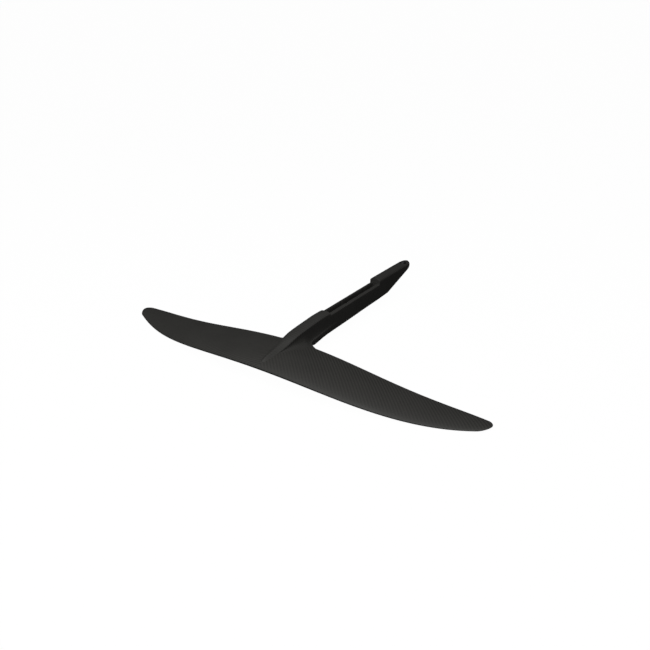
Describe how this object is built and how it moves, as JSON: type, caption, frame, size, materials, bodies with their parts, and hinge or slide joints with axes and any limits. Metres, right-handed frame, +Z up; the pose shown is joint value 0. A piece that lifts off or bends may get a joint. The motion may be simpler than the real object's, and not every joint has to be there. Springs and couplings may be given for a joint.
{
  "type": "hydrofoil front wing",
  "caption": "Drooped high-aspect hydrofoil front wing with a long integrated fuselage boom, a recessed mast saddle with a channel, and a scarfed tail seat.",
  "frame": {"origin": "middle of the channel floor that the mast sits on", "axes": "+X to the right wing tip along the span, +Y aft along the boom, +Z up out of the saddle"},
  "size_m": [0.83, 0.5657, 0.0726],
  "materials": {
    "wing_laminate": "satin carbon laminate",
    "boom_laminate": "satin carbon laminate",
    "unidirectional_carbon": "raw unidirectional carbon",
    "solid_laminate": "machined solid laminate",
    "foam": "rigid foam",
    "stainless_steel": "turned"
  },
  "bodies": {
    "root": {"wing_skin_upper": "wing_laminate", "wing_skin_lower": "wing_laminate", "spar_cap_upper": "unidirectional_carbon", "spar_cap_lower": "unidirectional_carbon", "root_block": "solid_laminate", "trailing_edge_left": "solid_laminate", "trailing_edge_right": "solid_laminate", "wing_tip_left": "solid_laminate", "wing_tip_right": "solid_laminate", "shear_web_left": "unidirectional_carbon", "shear_web_right": "unidirectional_carbon", "nose_fill_left": "unidirectional_carbon", "nose_fill_right": "unidirectional_carbon", "core_front_left": "foam", "core_front_right": "foam", "core_rear_left": "foam", "core_rear_right": "foam", "fairing_shell_left": "boom_laminate", "fairing_shell_right": "boom_laminate", "saddle_shell_left": "boom_laminate", "saddle_shell_right": "boom_laminate", "tail_shell_left": "boom_laminate", "tail_shell_right": "boom_laminate", "boom_front_core": "foam", "saddle_block": "solid_laminate", "tail_block": "solid_laminate", "mast_bush_front": "stainless_steel", "mast_bush_rear": "stainless_steel", "tail_bush": "stainless_steel"}
  },
  "joints": []
}
